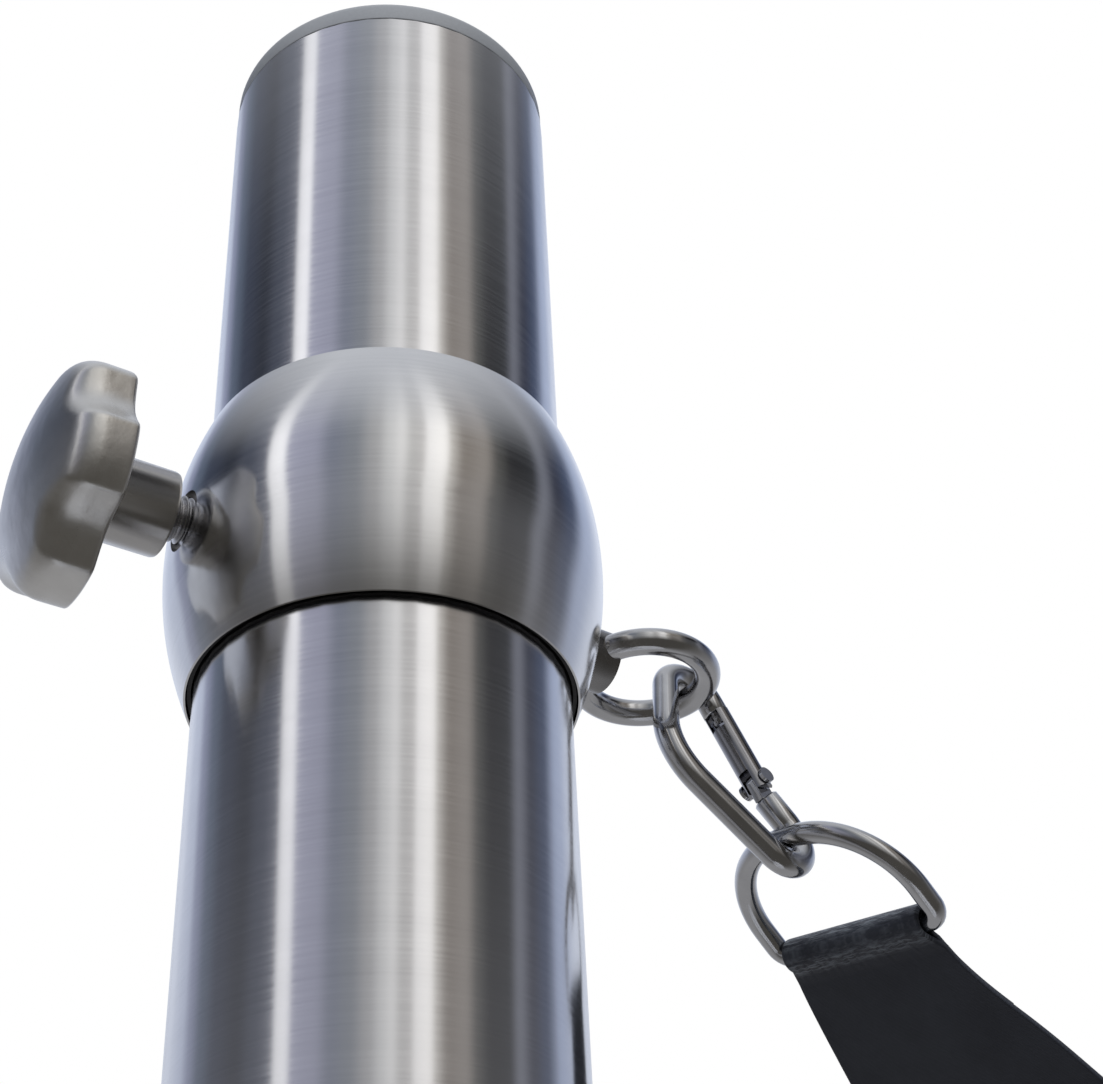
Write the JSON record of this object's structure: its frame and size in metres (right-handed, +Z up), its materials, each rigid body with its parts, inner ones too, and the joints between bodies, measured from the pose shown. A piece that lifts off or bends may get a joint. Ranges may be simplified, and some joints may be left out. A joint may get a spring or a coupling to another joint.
{
  "type": "shade sail post",
  "caption": "Tall round steel post on a square base plate, with a sliding barrel collar clamped by a star knob and a snap hook holding the D-ring at the corner of a shade sail.",
  "frame": {"origin": "centre of the base plate's underside, on the ground below the tube's axis", "axes": "+Z up along the tube, +X from the tube's axis towards the eye, +Y across"},
  "size_m": [0.2787, 0.2, 2.5077],
  "materials": {
    "brushed": "brushed round the tube",
    "collar": "finely brushed round the barrel",
    "weld": "weld bead, wire brushed",
    "cap": "satin grey",
    "bush": "matt black",
    "inner": "plain turned",
    "polished": "polished stainless steel",
    "cast": "cast and polished stainless steel",
    "screw": "rolled thread",
    "pad": "plain turned",
    "sail": "woven polyester, black"
  },
  "bodies": {
    "post": {"base_plate": "brushed", "base_weld": "weld", "post_tube": "brushed", "top_cap": "cap"},
    "guide": {"upper_bush": "bush", "lower_bush": "bush"},
    "collar": {"collar_shell": "collar", "screw_nut": "inner", "eye_boss": "polished", "eye_weld": "weld", "eye_ring": "polished"},
    "pad": {"thrust_pad": "pad"},
    "knob": {"star_knob": "cast", "clamp_screw": "screw"},
    "hook": {"hook_body": "polished"},
    "gate": {"hook_gate": "polished", "gate_rivet": "polished"},
    "ring": {"d_ring": "polished"},
    "tab": {"sail_fold": "sail", "sail_corner": "sail", "sail_hem": "sail"}
  },
  "joints": [
    {"name": "collar_slide", "type": "slide", "parent": "post", "child": "guide", "axis": [0, 0, 1], "range_m": [-1.8, 0.1]},
    {"name": "collar_turn", "type": "hinge", "parent": "guide", "child": "collar", "pos_m": [0, 0, 2.3607], "axis": [0, 0, 1], "continuous": true},
    {"name": "pad_feed", "type": "slide", "parent": "collar", "child": "pad", "axis": [-0.9986, 0.0523, 0], "range_m": [0, 0.0031]},
    {"name": "knob_turn", "type": "hinge", "parent": "pad", "child": "knob", "pos_m": [0, 0, 2.3607], "axis": [-0.9986, 0.0523, 0], "range_deg": [0, 720]},
    {"name": "hook_swing", "type": "hinge", "parent": "collar", "child": "hook", "pos_m": [0.08156, 0.00198, 2.3607], "axis": [-0.1392, 0.9903, 0], "range_deg": [-40, 25]},
    {"name": "gate_open", "type": "hinge", "parent": "hook", "child": "gate", "pos_m": [0.09632, -0.00114, 2.34122], "axis": [0.0682, -0.9758, 0.2079], "range_deg": [0, 20], "stiffness_Nm_per_rad": 0.05, "springref_deg": -11.46},
    {"name": "ring_swing", "type": "hinge", "parent": "hook", "child": "ring", "pos_m": [0.0983, -0.0043, 2.3257], "axis": [-0.0855, 0.9752, 0.2043], "range_deg": [-45, 40]},
    {"name": "tab_swing", "type": "hinge", "parent": "ring", "child": "tab", "pos_m": [0.12194, 0.00107, 2.30996], "axis": [-0.0855, 0.9752, 0.2043], "range_deg": [-40, 20]}
  ],
  "couplings": [
    {"joint": "pad_feed", "follows": "knob_turn", "m_per_rad": 0.00023873}
  ]
}
